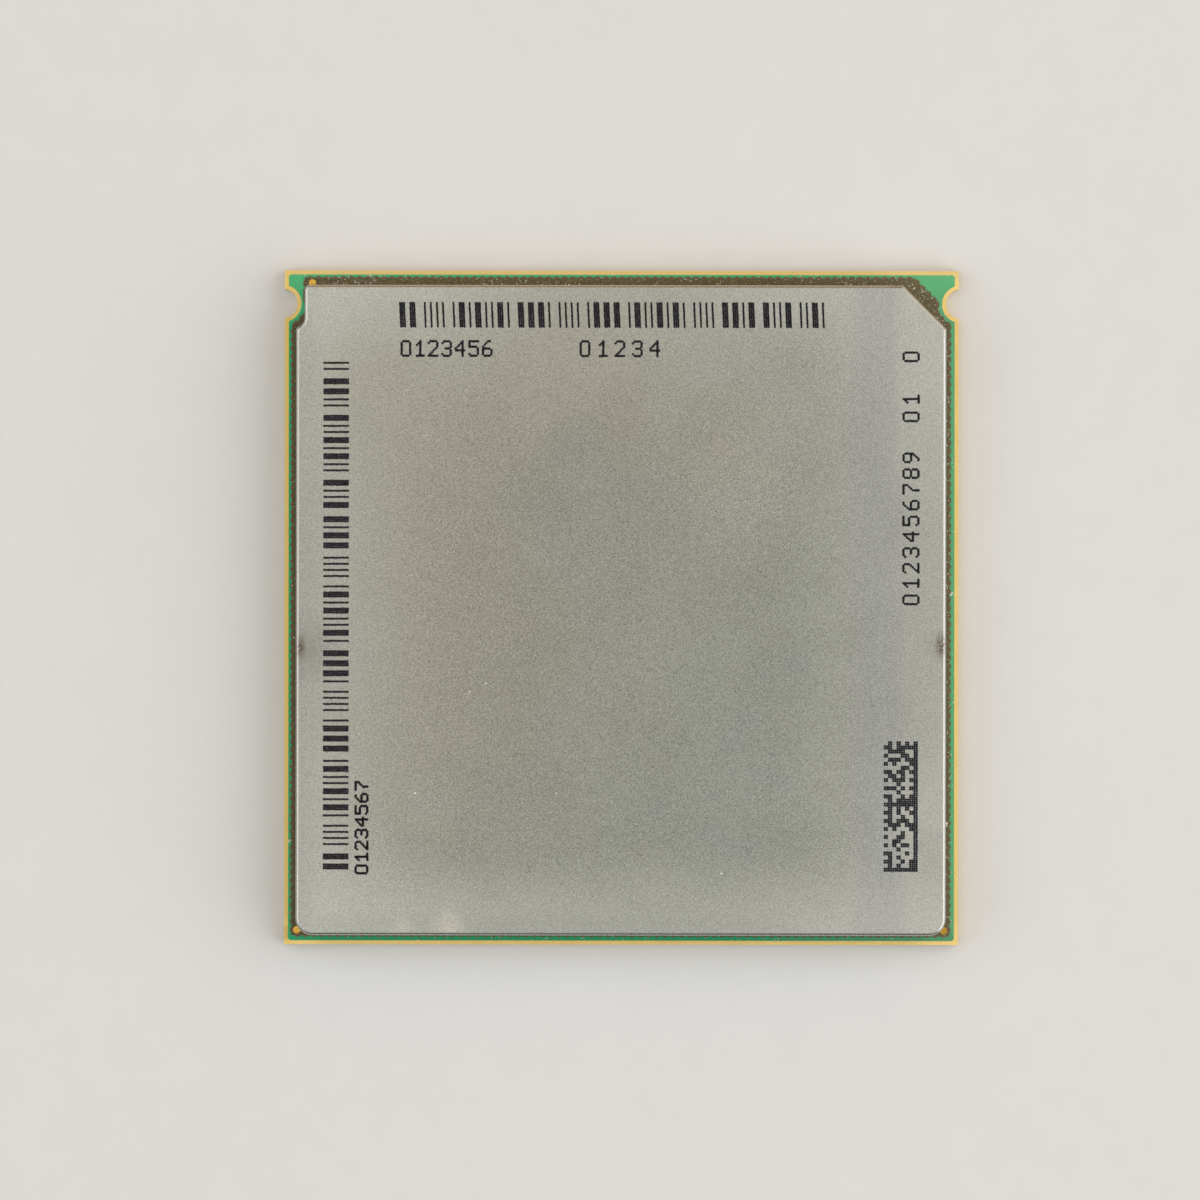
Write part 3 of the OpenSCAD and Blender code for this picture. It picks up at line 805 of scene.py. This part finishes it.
def cell_dots():
    """Dots of a rule-made cell code of two blocks, with four dots to a dark cell."""
    dots = []
    for block in range(CELL_BLOCKS):
        for row in range(CELL_ROWS):
            line = block * CELL_ROWS + row
            for column in range(CELL_COLUMNS):
                if dark_cell(block, row, column):
                    dots += [((column + i) * CELL_X, (line + j) * CELL_Y) for i, j in CELL_DOTS]
    return dots


def dark_cell(block, row, column):
    """Solid right and bottom borders, alternating left and top borders, and a counting rule inside."""
    if column == CELL_COLUMNS - 1 or row == 0:
        return True
    if column == 0:
        return row % 2 == 0
    if row == CELL_ROWS - 1:
        return column % 2 == 1
    return (3 * row * row + 5 * column * column + 7 * row * column + 11 * block) % 13 < 6


def numeral_dots(numeral):
    """Dots of one numeral, each once, one step apart along its pen strokes."""
    dots = []
    for stroke in STROKES[numeral]:
        for (start_x, start_y), (end_x, end_y) in zip(stroke, stroke[1:]):
            steps = max(abs(end_x - start_x), abs(end_y - start_y))
            for step in range(steps + 1):
                share = step / steps
                x = round(start_x + (end_x - start_x) * share)
                y = round(start_y + (end_y - start_y) * share)
                if (x, y) not in dots:
                    dots.append((x, y))
    return dots


def line_dots(numerals, spacing, width, height):
    """Dots of a line of numerals of one width and height along X."""
    step_x = (width - NUMBER_DOT_D) / NUMERAL_COLUMNS
    step_y = (height - NUMBER_DOT_D) / NUMERAL_ROWS
    foot = NUMBER_DOT_D / 2
    dots = []
    for place, numeral in enumerate(numerals):
        start = place * spacing + foot
        dots += [(start + x * step_x, foot + y * step_y) for x, y in numeral_dots(numeral)]
    return dots


def on_lid(dots, x, y, upward=False):
    """Places flat dots on the heat spreader's top, reading to the right or upward."""
    if upward:
        return [(x - v, y + u, LID_TOP) for u, v in dots]
    return [(x + u, y + v, LID_TOP) for u, v in dots]


# Print on the heat spreader

ink = ink_finish()
dots_tree = dot_tree()


def print_dots(name, points, diameter, wander, seed):
    """Prints a drop of ink on every point."""
    values = {"Dot diameter": diameter * MM, "Ink thickness": INK_T * MM, "Wander": wander * MM}
    values["Spread"] = DROP_SPREAD
    values["Seed"] = seed
    values["Material"] = ink
    piece = grow(name, dots_tree, point_mesh(name, points), values)
    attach(piece, "root")


top_left, top_right, top_foot, top_head = TOP_BARS
top_size = (top_right - top_left, top_head - top_foot)
top_code = bar_dots(TOP_BAR_GROUPS, *top_size, TOP_LEAN, TOP_BAR_DOT_D, TOP_BAR_PITCH)
top_code = on_lid(top_code, top_left, top_foot)
print_dots("bar_print_top", top_code, TOP_BAR_DOT_D, DROP_WANDER, seed=11)

side_left, side_right, side_foot, side_head = LEFT_BARS
side_size = (side_head - side_foot, side_right - side_left)
side_code = bar_dots(LEFT_BAR_GROUPS, *side_size, 0.0, LEFT_BAR_DOT_D, LEFT_BAR_PITCH)
side_code = on_lid(side_code, side_right, side_foot, upward=True)
print_dots("bar_print_left", side_code, LEFT_BAR_DOT_D, DROP_WANDER, seed=21)

print_dots("cell_print", on_lid(cell_dots(), *CELL_CORNER), CELL_DOT_D, CELL_WANDER, seed=31)

numbers = []
for numerals, size, start, upward in NUMBER_LINES:
    numbers += on_lid(line_dots(numerals, *size), *start, upward)
print_dots("number_print", numbers, NUMBER_DOT_D, DROP_WANDER, seed=41)

# Underside: lands and the film round them

middle = (LAND_COUNT - 1) / 2
last = LAND_COUNT - 1
places = []
for i in range(LAND_COUNT):
    for j in range(LAND_COUNT):
        if 0 < i < last or 0 < j < last:
            places.append(((i - middle) * LAND_PITCH, (j - middle) * LAND_PITCH))

gold = gold_finish()
land_values = {"Face diameter": LAND_FACE_D * MM, "Foot diameter": LAND_FOOT_D * MM}
land_values["Thickness"] = (land_high.z - land_low.z) * MM
land_values["Material"] = gold
land_points = point_mesh("land_places", [(x, y, land_low.z) for x, y in places])
lands = grow("gold_lands", land_tree(), land_points, land_values)
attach(lands, "root")
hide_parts("land_pads")

film_values = {"Film side": (under_high.x - under_low.x) * MM, "Opening diameter": OPENING_D * MM}
film_values["Film thickness"] = (under_high.z - under_low.z) * MM
film_values["Material"] = land_film_finish()
film_points = point_mesh("film_places", [(x, y, under_low.z) for x, y in places])
film = grow("land_side_film", film_tree(), film_points, film_values)
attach(film, "root")
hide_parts("bottom_solder_mask")

# Dust and flakes on the ledge, in millimetres

DUST_D = (0.03, 0.11)
FLAKE_D = (0.10, 0.24)
FIRST_DUST_SEED = 7
LID_GAP = 0.05
RIM_GAP = 0.1
FILM_GAP = 0.03
SIDE_FOOT = -24.0
SIDE_HEAD = 20.4
TOP_START = -22.8
TOP_END = 21.0
TOP_HALF = 24.4
BOTTOM_HALF = 24.3
CUT_LEDGE = [(20.80, 23.87), (23.98, 20.69), (24.30, 21.75), (21.75, 24.30)]
CLUMP_HALF = 0.13
CLUMPS = [
    (-24.54, -17.31, LOW_FILM_Z),
    (24.53, 1.09, LOW_FILM_Z),
    (24.10, -16.05, PLATEAU_Z),
    (24.05, -18.43, PLATEAU_Z),
]
dust = grained_finish("dust_pale")


def strip(left, bottom, right, top, level):
    """Corners of a flat rectangle."""
    return [(left, bottom, level), (right, bottom, level), (right, top, level), (left, top, level)]


def clump(x, y, level):
    """Corners of a small square about a point."""
    return strip(x - CLUMP_HALF, y - CLUMP_HALF, x + CLUMP_HALF, y + CLUMP_HALF, level)


def flat_mesh(name, outlines):
    """Flat faces of four corners each, in millimetres."""
    corners = [corner for outline in outlines for corner in outline]
    faces = [list(range(first, first + 4)) for first in range(0, len(corners), 4)]
    mesh = bpy.data.meshes.new(name)
    mesh.from_pydata([[value * MM for value in corner] for corner in corners], [], faces)
    return mesh


right_strips = [
    strip(lid_high.x + LID_GAP, SIDE_FOOT, plane_high.x - RIM_GAP, SIDE_HEAD, PLATEAU_Z),
    strip(plane_high.x, -BOTTOM_HALF, film_high.x - FILM_GAP, SIDE_HEAD, LOW_FILM_Z),
]
top_strips = [
    strip(TOP_START, lid_high.y + LID_GAP, TOP_END, plane_high.y - RIM_GAP, PLATEAU_Z),
    strip(-TOP_HALF, plane_high.y, TOP_HALF, film_high.y - FILM_GAP, LOW_FILM_Z),
]
bottom_strip = strip(-BOTTOM_HALF, film_low.y + FILM_GAP, BOTTOM_HALF, plane_low.y, LOW_FILM_Z)
left_strip = strip(film_low.x + FILM_GAP, SIDE_FOOT, lid_low.x - LID_GAP, SIDE_HEAD, PLATEAU_Z)
cut_strip = [(x, y, PLATEAU_Z) for x, y in CUT_LEDGE]

# Number of grains to a square millimetre, their sizes and their strips
dust_places = {
    "dust_right": (5.0, DUST_D, right_strips),
    "dust_top": (4.6, DUST_D, top_strips),
    "dust_bottom": (2.6, DUST_D, [bottom_strip]),
    "dust_left": (0.5, DUST_D, [left_strip]),
    "dust_corner": (16.0, DUST_D, [cut_strip]),
    "dust_clumps": (90.0, FLAKE_D, [clump(*place) for place in CLUMPS]),
}
dust_tree = speck_tree()
for seed, (name, (number, diameters, outlines)) in enumerate(dust_places.items(), FIRST_DUST_SEED):
    smallest, largest = diameters
    values = {"Number per area": number / MM ** 2, "Smallest": smallest * MM, "Largest": largest * MM}
    values["Seed"] = seed
    values["Material"] = dust
    specks = grow(name, dust_tree, flat_mesh(name, outlines), values)
    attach(specks, "root")

# Lint on the ledge and frayed glass fibres at the bottom left corner, in millimetres

LINT_D = 0.028
LINT_STEPS = 7
LINT_STEP = (0.02, 0.065)
LINT_BEND = (-0.5, 0.5)
LINT_RISE = 0.004
LINT_GAP = 0.08
SIDE_LINT_GAP = 0.06

# Rectangles with lint on them: left, bottom, right and top, and the number of threads
LINT_PLACES = [
    ((-22.5, lid_high.y + LINT_GAP, 21.0, plane_high.y + RIM_GAP), 26),
    ((-21.8, lid_high.y + LINT_GAP, -17.5, plane_high.y + RIM_GAP), 14),
    ((lid_high.x + SIDE_LINT_GAP, -23.5, plane_high.x, 20.2), 26),
    ((-23.0, plane_low.y - RIM_GAP, 24.0, lid_low.y - SIDE_LINT_GAP), 10),
]

# Frayed fibres from the top one down, with their rise over the face in diameters
FRAY_D = 0.035
FRAY_RISE = 0.3
FRAY_COUNT = 5
FRAY_TOP = -23.85
FRAY_PITCH = 0.17
FRAY_RUN = 0.26
FRAY_LIP = 0.02
FRAY_SUNK = (0.0, 0.10)
FRAY_REACH = (0.03, 0.10)
FRAY_DRIFT = (0.02, 0.14)
THREAD_SEED = 5
chance = random.Random(THREAD_SEED)


def path_mesh(name, paths):
    """Open paths through points in millimetres."""
    mesh = point_mesh(name, [point for path in paths for point in path])
    links = []
    for path in paths:
        first = links[-1][1] + 1 if links else 0
        links += [(first + i, first + i + 1) for i in range(len(path) - 1)]
    mesh.edges.add(len(links))
    mesh.edges.foreach_set("vertices", [end for link in links for end in link])
    mesh.update()
    return mesh


def lint_path(left, bottom, right, top):
    """Path of one bent thread of lint that stays over a rectangle of the ledge."""
    x = chance.uniform(left, right)
    y = chance.uniform(bottom, top)
    heading = chance.uniform(0.0, math.tau)
    bend = chance.uniform(*LINT_BEND)
    step = chance.uniform(*LINT_STEP)
    path = []
    for i in range(LINT_STEPS):
        path.append((x, y, PLATEAU_Z + LINT_D / 2 + LINT_RISE * i))
        x = min(max(x + step * math.cos(heading), left), right)
        y = min(max(y + step * math.sin(heading), bottom), top)
        heading += bend
    return path


def fray_path(y):
    """Path of one glass fibre that lies slantwise over the cut left edge and stands out of it."""
    end = board_high.z - chance.uniform(*FRAY_SUNK)
    reach = chance.uniform(*FRAY_REACH)
    drift = chance.uniform(*FRAY_DRIFT)
    edge = board_low.x
    level = board_high.z + FRAY_D * FRAY_RISE
    start = (edge + FRAY_RUN, y - FRAY_RUN, level)
    return [start, (edge + FRAY_LIP, y, level), (edge - reach, y + drift, end)]


lint = [lint_path(*place) for place, count in LINT_PLACES for _ in range(count)]
fray = [fray_path(FRAY_TOP - FRAY_PITCH * i) for i in range(FRAY_COUNT)]
laminate = laminate_finish()
threads = {
    "loose_lint": (lint, LINT_D, dust, "solder_mask"),
    "frayed_fibres": (fray, FRAY_D, laminate, "laminate"),
}
thread_tree = fibre_tree()
for name, (paths, diameter, finish, slot) in threads.items():
    values = {"Fibre diameter": diameter * MM, "Material": finish}
    thread = grow(name, thread_tree, path_mesh(name, paths), values)
    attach(thread, "root")

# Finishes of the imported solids

finishes = {
    "heat_spreader": nickel_finish(),
    "substrate": laminate,
    "top_solder_mask": top_film_finish(),
    "fiducial_pads": gold,
    "ground_plane": grained_finish("copper_plane", metallic=1.0),
    "die": grained_finish("silicon_lapped", relief_mm=LAPPED_RELIEF),
    "underfill": grained_finish("underfill_resin_dark"),
    "thermal_interface": grained_finish("thermal_paste_grey"),
    "capacitor_bodies": grained_finish("capacitor_ceramic_tan"),
    "capacitor_terminals": grained_finish("tin_matte", metallic=1.0),
    "capacitor_solder": grained_finish("solder_bright", metallic=1.0),
    "capacitor_pads": grained_finish("copper_pads", metallic=1.0),
    "lid_adhesive": grained_finish("adhesive_black"),
}
for node, material in finishes.items():
    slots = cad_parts[node].data.materials
    slots.clear()
    slots.append(material)

# Floor, light and camera, in metres

FLOOR_HALF = 1.5
floor_mesh = bpy.data.meshes.new("floor")
floor_corners = strip(-FLOOR_HALF, -FLOOR_HALF, FLOOR_HALF, FLOOR_HALF, 0.0)
floor_mesh.from_pydata(floor_corners, [], [[0, 1, 2, 3]])
floor = bpy.data.objects.new("floor", floor_mesh)
bpy.context.scene.collection.objects.link(floor)
floor_mesh.materials.append(grained_finish("floor_pale"))


def soft_light(name, place, size, watts, tint):
    """Square soft box that faces the part."""
    light = bpy.data.lights.new(name, "AREA")
    light.shape = "SQUARE"
    light.size = size
    light.energy = watts
    light.color = tint
    lamp = bpy.data.objects.new(name, light)
    lamp.location = place
    aim = -lamp.location
    lamp.rotation_euler = aim.to_track_quat("-Z", "Y").to_euler()
    lamp.visible_camera = False
    bpy.context.scene.collection.objects.link(lamp)


soft_light("key_right", (0.50, -0.06, 0.34), size=0.80, watts=3.35, tint=(0.985, 1.0, 1.0))
soft_light("fill_left", (-0.34, 0.05, 0.52), size=0.74, watts=1.80, tint=(0.97, 0.99, 1.0))
soft_light("bounce_left", (-0.60, 0.0, 0.30), size=0.55, watts=0.46, tint=(1.0, 1.0, 0.98))
soft_light("overhead", (0.0, 0.0, 0.95), size=0.90, watts=0.69, tint=(1.0, 1.0, 1.0))

# Room: grey all round, dim in front, warm behind and bright behind on the right
ROOM_GREY = (0.29, 0.29, 0.285)
ROOM_DIM = (0.13, 0.13, 0.13)
ROOM_WARM = (0.54, 0.31, 0.08)
ROOM_GLOW = (1.05, 0.88, 0.70)
world = bpy.data.worlds.new("studio")
world.use_nodes = True
ray = add_node(world.node_tree, "ShaderNodeTexCoord")
ray_x, ray_y, _ = ray.parts()
room = ray_y.ramp(-0.4, -0.95).mix(ROOM_GREY, ROOM_DIM)
room = (ray_x * 0.5 + ray_y * 0.87).ramp(0.30, 0.80).mix(room, ROOM_WARM)
glow = (ray_x + ray_y).ramp(0.50, 0.80) * (ray_x - ray_y).math("ABSOLUTE").ramp(0.50, 0.25)
room = glow.mix(room, ROOM_GLOW)
world.node_tree.links.new(room.socket, world.node_tree.nodes["Background"].inputs["Color"])
bpy.context.scene.world = world
bpy.context.scene.view_settings.view_transform = "Standard"

CAMERA_PLACE = (-0.001589, 0.000571, 0.54355)
CAMERA_LENS = 219.2
CAMERA_SENSOR = 36.0
CAMERA_NEAR = 0.01
CAMERA_ROLL = math.radians(0.082)
camera_data = bpy.data.cameras.new("camera")
camera_data.lens = CAMERA_LENS
camera_data.sensor_width = CAMERA_SENSOR
camera_data.clip_start = CAMERA_NEAR
camera = bpy.data.objects.new("camera", camera_data)
camera.location = CAMERA_PLACE
camera.rotation_euler = (0.0, 0.0, CAMERA_ROLL)
bpy.context.scene.collection.objects.link(camera)
bpy.context.scene.camera = camera

bpy.context.view_layer.update()
